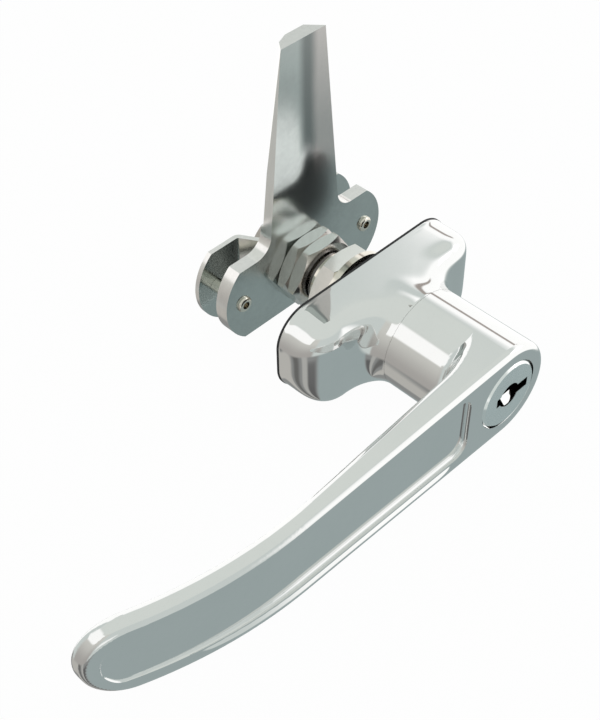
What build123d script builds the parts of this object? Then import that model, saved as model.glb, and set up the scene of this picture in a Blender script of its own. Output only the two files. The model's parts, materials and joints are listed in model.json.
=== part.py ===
from build123d import *
from math import asin, cos, degrees, radians, sin, sqrt, tan
import os

# Key-locking L-handle latch with a three-point cam, in millimetres.
# The spindle runs along Y. The user stands on the -Y side, the cabinet is on the +Y side,
# +Z is up, and y = 0 is the outer face of the door panel, under the gasket.
# At rest the lever points to -X and the cam's tongue points up.

# Panel stack
gasket_thickness = 0.5
gasket_lip = 0.15
panel_thickness = 2.0
panel_washer_thickness = 1.7
panel_washer_diameter = 25.0
panel_nut_thickness = 5.9
panel_nut_across_flats = 20.8
boss_diameter = 15.8
boss_past_nut = 1.5

# Escutcheon
base_length = 62.8
base_height = 26.2
base_corner = 9.5
base_depth = 13.5
lobe_depth_radius = 10.0
base_edge_round = 4.6
ramp_run = 4.0
collar_land = 0.5
flare_radius = 6.0
floor_thickness = 2.5

# Neck, hub and spigot of the handle
neck_diameter = 28.2
neck_length = 28.4
spigot_diameter = 18.0
parting_gap = 0.15
spigot_end_gap = 0.3

# Lever
lever_reach = 123.2
tip_radius = 11.7
lever_thickness = 5.2
bend_start = 70.0
bend_radius = 122.0
back_line_slope = 2.7
web_start = 18.0
web_radius = 30.0
web_root_round = 5.0
lever_edge_round = 1.9
recess_margin = 3.2
recess_lip = 4.6
recess_depth = 1.2
recess_end = 14.8
recess_corner = 4.0
recess_bend_start = 72.0
recess_bend_radius = 120.0
recess_floor_round = 0.8

# Spindle
spindle_diameter = 12.0
spindle_engagement = 7.5
thread_diameter = 10.0
flats_width = 10.0
spindle_past_nut = 2.0
thread_end_chamfer = 1.0

# Cam plate, bracket and rod pins
cam_plate_thickness = 4.0
rod_pin_pitch = 46.08
ear_top = 11.15
ear_bottom = -12.0
ear_round = 13.3
ear_round_centre = 15.9
ear_flat_end = 23.9
ear_point = 23.1
tongue_root_width = 25.9
tongue_root_height = 10.0
tongue_tip_width = 15.0
tongue_tip_height = 70.0
tongue_bevel = 2.1
tongue_bevel_start = 18.0
tongue_crown = 1.3
tongue_fillet = 5.5
bracket_thickness = 1.4
rod_gap = 6.8
bracket_flat_half = 10.5
bracket_web_run = 4.1
bracket_bend = 0.8
rod_pin_diameter = 3.8
rod_pin_head_diameter = 4.6
rod_pin_head_height = 1.0
rod_pin_hollow = 2.2
rod_pin_hollow_depth = 3.0
rod_pin_foot_diameter = 6.0
rod_pin_foot_height = 1.0

# Nuts, washers and ring on the spindle
thrust_washer_thickness = 0.8
ring_thickness = 1.0
ring_diameter = 14.6
ring_groove_depth = 0.7
ring_slot = 6.0
ring_to_jam_nut = 0.5
jam_nut_thickness = 3.8
cam_nut_thickness = 3.8
cam_nut_across_flats = 20.0
lock_washer_thickness = 1.6
lock_washer_diameter = 16.6
rear_nut_thickness = 6.0
rear_nut_across_flats = 17.0

# Lock cylinder
lock_face_diameter = 19.0
lock_face_gap = 0.35
lock_face_thickness = 3.1
lock_face_proud = 0.3
lock_face_chamfer = 0.6
housing_diameter = 17.2
housing_length = 18.0
barrel_diameter = 14.4
barrel_past_housing = 1.3
clip_thickness = 0.7
clip_diameter = 16.0
clip_groove_depth = 1.2
keyway_width = 1.9
keyway_left = -3.9
keyway_right = 3.7
keyway_step = 1.3
keyway_hole = 3.6
keyway_depth = 19.0
key_entry_left = -4.6
key_entry_right = 7.0
key_entry_height = 2.8
key_entry_hole = 7.0
housing_pin_diameter = 2.0

# Wafers and their springs
wafer_count = 5
wafer_pitch = 2.6
wafer_first = 4.4
wafer_thickness = 1.0
wafer_half_width = 4.0
wafer_travel = 0.8
wafer_window_length = 8.0
wafer_window_width = 4.2
wafer_window_shift = 0.6
wafer_lug_start = 1.6
wafer_lug_length = 1.0
wafer_lug_height = 1.5
spring_diameter = 1.1
spring_length = 4.2

# Bolt drive
tail_disc_diameter = 11.0
tail_disc_thickness = 1.2
tail_shaft_diameter = 6.0
eccentric_diameter = 2.4
eccentric_length = 3.4
bolt_depth = 4.8
bolt_width = 7.0
bolt_back = 7.4
bolt_front = 8.8
bolt_travel = 2.0
bolt_channel_middle = 14.5
notch_end_gap = 0.2

# Handle stop
stop_pin_diameter = 3.0
stop_pin_proud = 1.3
stop_pin_middle = 7.6
stop_groove_extra = 1.6
handle_turn = 90.0

# Neck seal
oring_wire = 1.5
oring_middle = 18.6

# Clearances
fit_clearance = 0.05
running_clearance = 0.1
drive_clearance = 0.12
slot_clearance = 0.2

# Places along Y, worked out from the sizes above
escutcheon_back = -gasket_thickness
base_front = escutcheon_back - base_depth
collar_end = base_front - collar_land - flare_radius
floor_front = escutcheon_back - floor_thickness
neck_back = collar_end - parting_gap
hub_front = collar_end - neck_length
spigot_back = floor_front - spigot_end_gap
washer_front = panel_thickness
nut_front = washer_front + panel_washer_thickness
boss_end = nut_front + panel_nut_thickness + boss_past_nut
thrust_front = boss_end + fit_clearance
ring_front = thrust_front + thrust_washer_thickness + fit_clearance
jam_nut_front = ring_front + ring_thickness + ring_to_jam_nut
cam_nut_front = jam_nut_front + jam_nut_thickness
cam_front = cam_nut_front + cam_nut_thickness
cam_back = cam_front + cam_plate_thickness
bracket_back = cam_back + bracket_thickness
ear_front = cam_back + rod_gap
ear_back = ear_front + bracket_thickness
rear_nut_front = bracket_back + lock_washer_thickness
rear_nut_back = rear_nut_front + rear_nut_thickness
spindle_end = rear_nut_back + spindle_past_nut
spindle_start = spigot_back - spindle_engagement
lock_front = hub_front - lock_face_proud
face_back = lock_front + lock_face_thickness
housing_front = face_back + fit_clearance
housing_back = housing_front + housing_length
clip_front = housing_back + fit_clearance
barrel_back = housing_back + barrel_past_housing + clip_thickness
tail_disc_back = barrel_back + tail_disc_thickness
bolt_channel_front = -bolt_channel_middle - bolt_depth / 2 - slot_clearance / 2
bolt_channel_back = -bolt_channel_middle + bolt_depth / 2 + slot_clearance / 2
eccentric_offset = bolt_travel / 2
notch_depth = bolt_travel + notch_end_gap
housing_bore_end = tail_disc_back + slot_clearance
eccentric_front = bolt_channel_front - slot_clearance
housing_pin_y = housing_front + housing_pin_diameter
wafers_front = face_back + wafer_first
wafers_back = wafers_front + (wafer_count - 1) * wafer_pitch + wafer_thickness

# Radii
neck_radius = neck_diameter / 2
spigot_radius = spigot_diameter / 2
socket_radius = spigot_radius + running_clearance
spindle_radius = spindle_diameter / 2
barrel_radius = barrel_diameter / 2
housing_bore_radius = barrel_radius + fit_clearance
groove_radius = barrel_radius + wafer_travel + running_clearance
oring_outer = socket_radius - fit_clearance

os.makedirs("parts", exist_ok=True)


def at_depth(y):
    """A plane across the spindle at y, with local x = X and local y = Z.

    A positive extrusion from it grows towards the user.
    """
    return Plane(origin=(0, y, 0), x_dir=(1, 0, 0), z_dir=(0, -1, 0))


def save(piece, name):
    """Label a finished piece and write its file."""
    piece.part.label = name
    export_step(piece.part, f"parts/{name}.step")


def hexagon_nut(front, thickness, across_flats, bore_radius):
    """A hexagon nut with its corners turned off at 30 degrees on both faces."""
    corner_radius = across_flats / 2 / cos(radians(30))
    corner_drop = (corner_radius - across_flats / 2) * tan(radians(30))
    with BuildPart() as blank:
        with BuildSketch(at_depth(front + thickness)):
            Circle(corner_radius)
        extrude(amount=thickness)
        rims = blank.edges().filter_by(GeomType.CIRCLE)
        chamfer(rims, length=corner_radius - across_flats / 2, length2=corner_drop)
    with BuildPart() as nut:
        with BuildSketch(at_depth(front + thickness)):
            RegularPolygon(radius=across_flats / 2, side_count=6, major_radius=False)
            Circle(bore_radius, mode=Mode.SUBTRACT)
        extrude(amount=thickness)
        add(blank.part, mode=Mode.INTERSECT)
    return nut


def flat_ring(front, thickness, outer_radius, inner_radius):
    """A plain washer across the spindle."""
    with BuildPart() as ring:
        with BuildSketch(at_depth(front + thickness)):
            Circle(outer_radius)
            Circle(inner_radius, mode=Mode.SUBTRACT)
        extrude(amount=thickness)
    return ring


# Escutcheon: base with rounded lobes that flow into a flared collar, and a threaded boss
flare_outer = neck_radius + flare_radius
flare_end = collar_end + collar_land
lobe_side = base_length / 2
lobe_front = lobe_side - lobe_depth_radius
lobe_start = base_front + lobe_depth_radius

# Room that the collar's flare leaves, as a turned shape
with BuildPart() as flare_limit:
    with BuildSketch(Plane.XY):
        with BuildLine():
            Polyline(
                (0, escutcheon_back),
                (base_length, escutcheon_back),
                (base_length, base_front),
                (flare_outer, base_front),
            )
            RadiusArc((flare_outer, base_front), (neck_radius, flare_end), -flare_radius)
            Polyline(
                (neck_radius, flare_end),
                (neck_radius, collar_end),
                (0, collar_end),
                (0, escutcheon_back),
            )
        make_face()
    revolve(axis=Axis.Y)

with BuildPart() as escutcheon:
    with BuildSketch(at_depth(escutcheon_back)):
        RectangleRounded(base_length, base_height, base_corner)
    extrude(amount=escutcheon_back - collar_end)
    with BuildSketch(Plane.XY):
        with BuildLine():
            Polyline((0, 0), (lobe_side, 0), (lobe_side, lobe_start))
            RadiusArc((lobe_side, lobe_start), (lobe_front, base_front), lobe_depth_radius)
            Line((lobe_front, base_front), (flare_outer, base_front))
            RadiusArc((flare_outer, base_front), (neck_radius, flare_end), -flare_radius)
            Polyline((neck_radius, flare_end), (neck_radius, collar_end), (0, collar_end))
            mirror(about=Plane.YZ)
        make_face()
    extrude(amount=base_height, both=True, mode=Mode.INTERSECT)
    front_loop = escutcheon.edges().filter_by(
        lambda edge: abs(edge.center().Z) > base_corner / 2
        and collar_end + 0.01 < edge.center().Y < lobe_start
        and (edge.center().Y < base_front + 0.5 or abs(edge.center().X) > lobe_front + 2)
    )
    fillet(front_loop, base_edge_round)
    add(flare_limit.part, mode=Mode.INTERSECT)
    # Low cone that lifts the top and the bottom to the neck's round
    with BuildSketch(Plane.XY):
        Polygon(
            (0, base_front + ramp_run),
            (base_height / 2, base_front + ramp_run),
            (neck_radius, flare_end),
            (neck_radius, collar_end),
            (0, collar_end),
            align=None,
        )
    revolve(axis=Axis.Y)
    with BuildSketch(at_depth(boss_end)):
        Circle(boss_diameter / 2)
    extrude(amount=boss_end - escutcheon_back)
    with BuildSketch(at_depth(boss_end)):
        Circle(spindle_radius + running_clearance)
    extrude(amount=boss_end - collar_end, mode=Mode.SUBTRACT)
    with BuildSketch(at_depth(floor_front)):
        Circle(socket_radius)
    extrude(amount=floor_front - collar_end, mode=Mode.SUBTRACT)
    # Arc groove for the stop pin, from the closed to the open position
    groove_mid = -stop_pin_middle
    groove_half_width = stop_pin_diameter / 2 + slot_clearance
    groove_outer = socket_radius + stop_groove_extra
    end_angle = degrees(asin(groove_half_width / spigot_radius))
    with BuildSketch(at_depth(groove_mid + groove_half_width)):
        with BuildLine():
            groove_start = 180 + end_angle
            groove_arc = -(handle_turn + 2 * end_angle)
            sweep_line = CenterArc((0, 0), groove_outer, groove_start, groove_arc)
            Line(sweep_line @ 1, (0, 0))
            Line((0, 0), sweep_line @ 0)
        make_face()
    extrude(amount=2 * groove_half_width, mode=Mode.SUBTRACT)
    # Notches that the locking bolt enters with the handle closed and open
    notch_half = bolt_width / 2 + slot_clearance
    notch_outer = socket_radius + notch_depth
    with BuildSketch(at_depth(bolt_channel_back)):
        with PolarLocations(notch_outer / 2, 2, angular_range=-180, rotate=True):
            Rectangle(notch_outer, 2 * notch_half)
    extrude(amount=bolt_channel_back - bolt_channel_front, mode=Mode.SUBTRACT)
save(escutcheon, "escutcheon")

# Gasket between the escutcheon and the door panel
with BuildPart() as gasket:
    with BuildSketch(at_depth(0)):
        RectangleRounded(
            base_length + 2 * gasket_lip,
            base_height + 2 * gasket_lip,
            base_corner + gasket_lip,
        )
        Circle(boss_diameter / 2 + slot_clearance, mode=Mode.SUBTRACT)
    extrude(amount=gasket_thickness)
save(gasket, "gasket")

# Washer and nut that clamp the panel
boss_bore = boss_diameter / 2 + fit_clearance
panel_washer = flat_ring(washer_front, panel_washer_thickness, panel_washer_diameter / 2, boss_bore)
save(panel_washer, "panel_washer")
panel_nut = hexagon_nut(nut_front, panel_nut_thickness, panel_nut_across_flats, boss_bore)
save(panel_nut, "panel_nut")

# Thrust washer and retaining ring behind the boss
spindle_bore = spindle_radius + fit_clearance
thrust_washer = flat_ring(
    thrust_front, thrust_washer_thickness, boss_diameter / 2 - slot_clearance, spindle_bore
)
save(thrust_washer, "thrust_washer")
with BuildPart() as retaining_ring:
    with BuildSketch(at_depth(ring_front + ring_thickness)):
        Circle(ring_diameter / 2)
        Circle(spindle_radius - ring_groove_depth + fit_clearance, mode=Mode.SUBTRACT)
        with Locations((0, -ring_diameter / 2)):
            Rectangle(ring_slot, ring_diameter, mode=Mode.SUBTRACT)
    extrude(amount=ring_thickness)
save(retaining_ring, "retaining_ring")

# Spindle: shank, ring groove, double flats for the cam and a thread for the rear nut
with BuildPart() as spindle:
    with BuildSketch(at_depth(spindle_end)):
        Circle(thread_diameter / 2)
    extrude(amount=spindle_end - spindle_start)
    chamfer(spindle.faces().sort_by(Axis.Y)[-1].edges(), thread_end_chamfer)
    with BuildSketch(at_depth(bracket_back)):
        Circle(spindle_radius)
        Rectangle(spindle_diameter, flats_width, mode=Mode.INTERSECT)
    extrude(amount=bracket_back - cam_front)
    with BuildSketch(at_depth(cam_front)):
        Circle(spindle_radius)
    extrude(amount=cam_front - spindle_start)
    with BuildSketch(at_depth(ring_front + ring_thickness + fit_clearance)):
        Circle(spindle_diameter)
        Circle(spindle_radius - ring_groove_depth, mode=Mode.SUBTRACT)
    extrude(amount=ring_thickness + 2 * fit_clearance, mode=Mode.SUBTRACT)
    with BuildSketch(Plane.YZ):
        with Locations((-stop_pin_middle, 0)):
            Circle(stop_pin_diameter / 2 + fit_clearance)
    extrude(amount=spindle_diameter, both=True, mode=Mode.SUBTRACT)
save(spindle, "spindle")

# Stop pin: fixes the spindle in the spigot, and its proud end runs in the arc groove
with BuildPart() as stop_pin:
    with BuildSketch(Plane.YZ.offset(-spigot_radius - stop_pin_proud)):
        with Locations((-stop_pin_middle, 0)):
            Circle(stop_pin_diameter / 2)
    extrude(amount=2 * spigot_radius + stop_pin_proud - slot_clearance)
save(stop_pin, "stop_pin")

# Cam plate: two ears and a bevelled tongue
ear_outline_half = rod_pin_pitch / 2


def ear_outline():
    """The outline that the cam plate and the bracket share, without the tongue."""
    with BuildSketch() as outline:
        with BuildLine():
            Polyline((-ear_point, ear_bottom), (ear_point, ear_bottom))
            ThreePointArc(
                (ear_point, ear_bottom),
                (ear_round_centre + ear_round, 0),
                (ear_flat_end, ear_top),
            )
            Line((ear_flat_end, ear_top), (-ear_flat_end, ear_top))
            ThreePointArc(
                (-ear_flat_end, ear_top),
                (-ear_round_centre - ear_round, 0),
                (-ear_point, ear_bottom),
            )
        make_face()
    return outline.sketch


def tongue_edges(height):
    """Left and right edges of the tongue's front at a height."""
    share = (height - tongue_root_height) / (tongue_tip_height - tongue_root_height)
    half = (tongue_root_width + share * (tongue_tip_width - tongue_root_width)) / 2
    return -half, half


def facet(corner, first, second):
    """A cutting plane through three points, with its normal out of the metal."""
    origin = Vector(*corner)
    return Plane(origin=origin, z_dir=(Vector(*first) - origin).cross(Vector(*second) - origin))


ears = ear_outline()
low_left, low_right = tongue_edges(ear_top - 1)
tongue_tip_left, tongue_tip_right = tongue_edges(tongue_tip_height)
mid_left, mid_right = tongue_edges(tongue_bevel_start)
with BuildPart() as cam_plate:
    # The tongue above its root: flat in front, with bevels that grow towards the tip
    with BuildSketch(at_depth(cam_back)):
        with BuildLine():
            Polyline(
                (mid_left, tongue_bevel_start),
                (mid_right, tongue_bevel_start),
                (tongue_tip_right, tongue_tip_height),
                (tongue_tip_left, tongue_tip_height),
                close=True,
            )
        make_face()
    extrude(amount=cam_plate_thickness)
    left_bevel = facet(
        (mid_left, cam_back, tongue_bevel_start),
        (tongue_tip_left, cam_front, tongue_tip_height),
        (tongue_tip_left + tongue_bevel, cam_back - tongue_crown, tongue_tip_height),
    )
    right_bevel = facet(
        (mid_right, cam_back, tongue_bevel_start),
        (tongue_tip_right - 1.7 * tongue_bevel, cam_back, tongue_tip_height),
        (tongue_tip_right, cam_front, tongue_tip_height),
    )
    back_bevel = facet(
        (mid_left + tongue_bevel, cam_back, tongue_bevel_start),
        (tongue_tip_left + tongue_bevel, cam_back - tongue_crown, tongue_tip_height),
        (tongue_tip_left + 2.5 * tongue_bevel, cam_back, tongue_tip_height),
    )
    for bevel in (left_bevel, right_bevel, back_bevel):
        split(bisect_by=bevel, keep=Keep.BOTTOM)
    # The ears and the root of the tongue
    with BuildSketch(at_depth(cam_back)):
        add(ears)
        with BuildLine():
            Polyline(
                (low_left, ear_top - 1),
                (low_right, ear_top - 1),
                (mid_right, tongue_bevel_start),
                (mid_left, tongue_bevel_start),
                close=True,
            )
        make_face()
        inner_corners = vertices().filter_by(
            lambda vertex: abs(vertex.Y - ear_top) < 0.01 and abs(vertex.X) < ear_round_centre
        )
        fillet(inner_corners, tongue_fillet)
    extrude(amount=cam_plate_thickness)
    with BuildSketch(at_depth(cam_back)):
        Circle(spindle_radius + fit_clearance)
        Rectangle(spindle_diameter + 1, flats_width + 2 * fit_clearance, mode=Mode.INTERSECT)
        with Locations((-ear_outline_half, 0), (ear_outline_half, 0)):
            Circle(rod_pin_diameter / 2 + fit_clearance)
    extrude(amount=cam_plate_thickness, mode=Mode.SUBTRACT)
save(cam_plate, "cam_plate")

# Rear bracket: a joggled strip with the same ears, behind the cam plate
with BuildPart() as rear_bracket:
    with BuildSketch(Plane.XY):
        with BuildLine():
            web_end = bracket_flat_half + bracket_web_run
            bend_path = FilletPolyline(
                (-ear_round_centre - ear_round - 1, ear_front),
                (-web_end, ear_front),
                (-bracket_flat_half, cam_back),
                (bracket_flat_half, cam_back),
                (web_end, ear_front),
                (ear_round_centre + ear_round + 1, ear_front),
                radius=bracket_bend,
            )
            offset(bend_path, amount=bracket_thickness, side=Side.LEFT, kind=Kind.INTERSECTION)
        make_face()
    extrude(amount=ear_round, both=True)
    with BuildSketch(at_depth(ear_back + 1)):
        add(ears)
        Circle(spindle_radius + fit_clearance, mode=Mode.SUBTRACT)
        with Locations((-ear_outline_half, 0), (ear_outline_half, 0)):
            Circle(rod_pin_diameter / 2 + fit_clearance, mode=Mode.SUBTRACT)
    extrude(amount=ear_back + 2 - cam_back, mode=Mode.INTERSECT)
save(rear_bracket, "rear_bracket")

# Rod pins: hollow rivets with a domed head in front and a flat foot behind
for side, name in ((-1, "left_rod_pin"), (1, "right_rod_pin")):
    with BuildPart() as rod_pin:
        with BuildSketch(at_depth(ear_back + rod_pin_foot_height)):
            with Locations((side * ear_outline_half, 0)):
                Circle(rod_pin_foot_diameter / 2)
        extrude(amount=rod_pin_foot_height)
        with BuildSketch(at_depth(ear_back)):
            with Locations((side * ear_outline_half, 0)):
                Circle(rod_pin_diameter / 2)
        extrude(amount=ear_back - cam_front)
        with BuildSketch(at_depth(cam_front)):
            with Locations((side * ear_outline_half, 0)):
                Circle(rod_pin_head_diameter / 2)
        extrude(amount=rod_pin_head_height)
        fillet(rod_pin.faces().sort_by(Axis.Y)[0].outer_wire().edges(), 0.8 * rod_pin_head_height)
        with BuildSketch(at_depth(cam_front - rod_pin_head_height + rod_pin_hollow_depth)):
            with Locations((side * ear_outline_half, 0)):
                Circle(rod_pin_hollow / 2)
        extrude(amount=rod_pin_hollow_depth, mode=Mode.SUBTRACT)
    save(rod_pin, name)

# Nuts that clamp the cam and the bracket
cam_nut = hexagon_nut(cam_nut_front, cam_nut_thickness, cam_nut_across_flats, spindle_bore)
save(cam_nut, "cam_nut")
jam_nut = hexagon_nut(jam_nut_front, jam_nut_thickness, cam_nut_across_flats, spindle_bore)
save(jam_nut, "jam_nut")
thread_bore = thread_diameter / 2 + fit_clearance
with BuildPart() as lock_washer:
    with BuildSketch(at_depth(rear_nut_front)):
        Circle(lock_washer_diameter / 2)
        Circle(thread_bore, mode=Mode.SUBTRACT)
        with Locations((0, -lock_washer_diameter / 2)):
            Rectangle(ring_slot / 3, lock_washer_diameter, mode=Mode.SUBTRACT)
    extrude(amount=lock_washer_thickness)
save(lock_washer, "lock_washer")
rear_cam_nut = hexagon_nut(rear_nut_front, rear_nut_thickness, rear_nut_across_flats, thread_bore)
save(rear_cam_nut, "rear_cam_nut")

# Handle: lever, hub, neck and spigot in one casting
tip_centre = tip_radius - lever_reach
taper = asin((neck_radius - tip_radius) / -tip_centre)
bend_centre = hub_front + bend_radius
back_radius = bend_radius - lever_thickness
slope_sine = sin(radians(back_line_slope))
slope_cosine = cos(radians(back_line_slope))
back_line_start = (-bend_start + back_radius * slope_sine, bend_centre - back_radius * slope_cosine)
web_run = -web_start - back_line_start[0]
web_low = (-web_start, back_line_start[1] + web_run * slope_sine / slope_cosine)
web_centre = (web_low[0] - web_radius * slope_sine, web_low[1] + web_radius * slope_cosine)


def on_circle(centre, radius, x):
    """The point at x on the user's side of a circle in the plan view."""
    return (x, centre[1] - sqrt(radius**2 - (x - centre[0]) ** 2))


def front_at(x):
    """Depth of the lever's front face at x."""
    if x > -bend_start:
        return hub_front
    return on_circle(bend_middle, bend_radius, x)[1]


def on_front(edge):
    """True for an edge that lies in the front face."""
    middle = edge.position_at(0.5)
    return middle.Y < front_at(middle.X) + 0.3


def on_recess_floor(edge):
    """True for an edge all round the recess's floor, not for one that crosses the floor."""
    if not runs_along(edge):
        return False
    for share in (0.1, 0.5, 0.9):
        place = edge.position_at(share)
        floor = recess_floor
        if place.X < -recess_bend_start:
            floor = on_circle(recess_middle, recess_bend_radius, place.X)[1]
        if abs(place.Y - floor) > 0.02:
            return False
    return True


def at_web_root(edge):
    """True for the curved edges where the lever's web leaves the neck."""
    if edge.geom_type == GeomType.LINE:
        return False
    for share in (0, 0.5, 1):
        place = edge.position_at(share)
        if abs(sqrt(place.X**2 + place.Z**2) - neck_radius) > 0.02:
            return False
    middle = edge.position_at(0.5)
    return middle.X < 0 and hub_front + recess_depth < middle.Y < neck_back - 1


def runs_along(edge):
    """True for an edge of the outline, not for one that crosses the lever or its side."""
    straight = edge.geom_type == GeomType.LINE
    return not (straight and abs(edge.position_at(0).X - edge.position_at(1).X) < 0.01)


def front_view(margin):
    """The lever and hub seen by the user, drawn in by a margin, about the lever's own axis."""
    hub = neck_radius - margin
    tip = tip_radius - margin
    hub_x = -hub * sin(taper)
    hub_z = hub * cos(taper)
    tip_x = tip_centre - tip * sin(taper)
    tip_z = tip * cos(taper)
    with BuildSketch() as outline:
        with BuildLine():
            Line((hub_x, hub_z), (tip_x, tip_z))
            ThreePointArc((tip_x, tip_z), (tip_centre - tip, 0), (tip_x, -tip_z))
            Line((tip_x, -tip_z), (hub_x, -hub_z))
            ThreePointArc((hub_x, -hub_z), (hub, 0), (hub_x, hub_z))
        make_face()
    return outline.sketch


bend_middle = (-bend_start, bend_centre)
tip_far = -lever_reach - 1
bend_half_way = (tip_far - bend_start) / 2
web_end_x = -neck_radius * sin(taper)
# Recess in the lever's front, shallower towards the tip, with a lip along its lower side
recess_floor = hub_front + recess_depth
recess_middle = (-recess_bend_start, recess_floor + recess_bend_radius)
recess_half_way = (tip_far - recess_bend_start) / 2
with BuildPart() as recess:
    with BuildSketch(Plane.XY):
        with BuildLine():
            Line((0, recess_floor), (-recess_bend_start, recess_floor))
            ThreePointArc(
                (-recess_bend_start, recess_floor),
                on_circle(recess_middle, recess_bend_radius, recess_half_way),
                on_circle(recess_middle, recess_bend_radius, tip_far),
            )
            Polyline(
                on_circle(recess_middle, recess_bend_radius, tip_far),
                (tip_far, hub_front - recess_depth),
                (0, hub_front - recess_depth),
                (0, recess_floor),
            )
        make_face()
    extrude(amount=neck_radius, both=True)
    with BuildSketch(at_depth(0)):
        add(front_view(recess_margin), rotation=degrees(taper))
        with Locations((-recess_end, recess_lip - neck_radius)):
            Rectangle(lever_reach, neck_diameter, align=(Align.MAX, Align.MIN), mode=Mode.INTERSECT)
        corners = vertices().filter_by(
            lambda vertex: vertex.X > -recess_end - 0.1 or vertex.Y < recess_lip - neck_radius + 0.1
        )
        fillet(corners, recess_corner)
    extrude(amount=-hub_front + recess_depth, mode=Mode.INTERSECT)
    fillet(recess.edges().filter_by(on_recess_floor), recess_floor_round)

# Lever and hub: the plan view with its bend, cut to the tapering front view
with BuildPart() as lever:
    with BuildSketch(Plane.XY):
        with BuildLine():
            Line((web_end_x, hub_front), (-bend_start, hub_front))
            ThreePointArc(
                (-bend_start, hub_front),
                on_circle(bend_middle, bend_radius, bend_half_way),
                on_circle(bend_middle, bend_radius, tip_far),
            )
            Line(
                on_circle(bend_middle, bend_radius, tip_far),
                on_circle(bend_middle, back_radius, tip_far),
            )
            ThreePointArc(
                on_circle(bend_middle, back_radius, tip_far),
                on_circle(bend_middle, back_radius, bend_half_way),
                back_line_start,
            )
            Line(back_line_start, web_low)
            ThreePointArc(
                web_low,
                on_circle(web_centre, web_radius, -web_start / 2),
                on_circle(web_centre, web_radius, web_end_x),
            )
            Line(on_circle(web_centre, web_radius, web_end_x), (web_end_x, hub_front))
        make_face()
    extrude(amount=neck_radius, both=True)
    with BuildSketch(at_depth(neck_back)):
        add(front_view(0))
    extrude(amount=neck_back - hub_front + 1, mode=Mode.INTERSECT)
    back_edges = lever.edges().filter_by(
        lambda edge: runs_along(edge) and not on_front(edge) and edge.position_at(0.5).X < -1
    )
    fillet(back_edges, lever_edge_round)
    with BuildSketch(at_depth(neck_back)):
        Circle(neck_radius)
    extrude(amount=neck_back - hub_front)
    fillet(lever.edges().filter_by(at_web_root), web_root_round)
    front_edges = lever.edges().filter_by(lambda edge: runs_along(edge) and on_front(edge))
    fillet(front_edges, lever_edge_round)

# The recess turns up with the lever's lower side
with BuildPart() as handle:
    add(lever.part)
    add(recess.part, rotation=(0, degrees(taper), 0), mode=Mode.SUBTRACT)
    # Spigot, and the cavities from the lock face to the spindle
    with BuildSketch(at_depth(spigot_back)):
        Circle(spigot_radius)
    extrude(amount=spigot_back - neck_back)
    with BuildSketch(at_depth(housing_front)):
        Circle(lock_face_diameter / 2 + lock_face_gap)
    extrude(amount=housing_front - hub_front, mode=Mode.SUBTRACT)
    with BuildSketch(at_depth(housing_bore_end)):
        Circle(housing_diameter / 2 + fit_clearance)
    extrude(amount=housing_bore_end - housing_front, mode=Mode.SUBTRACT)
    with BuildSketch(at_depth(bolt_channel_front)):
        Circle(tail_shaft_diameter / 2 + slot_clearance)
    extrude(amount=bolt_channel_front - housing_bore_end, mode=Mode.SUBTRACT)
    with BuildSketch(at_depth(bolt_channel_back)):
        with Locations((-bolt_back - slot_clearance, 0)):
            Rectangle(
                2 * spigot_diameter,
                bolt_width + slot_clearance,
                align=(Align.MIN, Align.CENTER),
            )
    extrude(amount=bolt_channel_back - bolt_channel_front, mode=Mode.SUBTRACT)
    with BuildSketch(at_depth(spigot_back)):
        Circle(spindle_radius + fit_clearance)
    extrude(amount=spigot_back - spindle_start + fit_clearance, mode=Mode.SUBTRACT)
    with BuildSketch(Plane.YZ):
        with Locations((-stop_pin_middle, 0)):
            Circle(stop_pin_diameter / 2 + fit_clearance)
    extrude(amount=spigot_diameter, both=True, mode=Mode.SUBTRACT)
    oring_room = oring_wire / 2 + running_clearance
    with BuildSketch(at_depth(-oring_middle + oring_room)):
        Circle(spigot_diameter)
        Circle(oring_outer - oring_wire - fit_clearance, mode=Mode.SUBTRACT)
    extrude(amount=2 * oring_room, mode=Mode.SUBTRACT)
    with BuildSketch(Plane.XY.offset(-neck_radius)):
        with Locations((0, housing_pin_y)):
            Circle(housing_pin_diameter / 2 + fit_clearance)
    extrude(amount=neck_radius - barrel_radius, mode=Mode.SUBTRACT)
save(handle, "handle")

# Neck seal
with BuildPart() as neck_oring:
    with BuildSketch(Plane.XY):
        with Locations((oring_outer - oring_wire / 2, -oring_middle)):
            Circle(oring_wire / 2)
    revolve(axis=Axis.Y)
save(neck_oring, "neck_oring")

# Lock housing: a sleeve with two inner grooves that the wafers enter
with BuildPart() as lock_housing:
    with BuildSketch(at_depth(housing_back)):
        Circle(housing_diameter / 2)
        Circle(housing_bore_radius, mode=Mode.SUBTRACT)
    extrude(amount=housing_length)
    groove_back = wafers_back + 2 * slot_clearance
    groove_front = wafers_front - 2 * slot_clearance
    groove_width = 2 * (wafer_half_width + slot_clearance)
    with BuildSketch(at_depth(groove_back)):
        with PolarLocations(groove_radius / 2, 2, angular_range=-180, rotate=True):
            Rectangle(groove_radius, groove_width)
        Circle(groove_radius, mode=Mode.INTERSECT)
    extrude(amount=groove_back - groove_front, mode=Mode.SUBTRACT)
    with BuildSketch(Plane.XY.offset(-housing_diameter)):
        with Locations((0, housing_pin_y)):
            Circle(housing_pin_diameter / 2 + fit_clearance)
    extrude(amount=housing_diameter - barrel_radius, mode=Mode.SUBTRACT)
save(lock_housing, "lock_housing")

# Housing pin, pressed in from the underside of the hub
with BuildPart() as housing_pin:
    with BuildSketch(Plane.XY.offset(-neck_radius + slot_clearance)):
        with Locations((0, housing_pin_y)):
            Circle(housing_pin_diameter / 2)
    extrude(amount=neck_radius - barrel_radius - 2 * slot_clearance)
save(housing_pin, "housing_pin")

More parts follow.
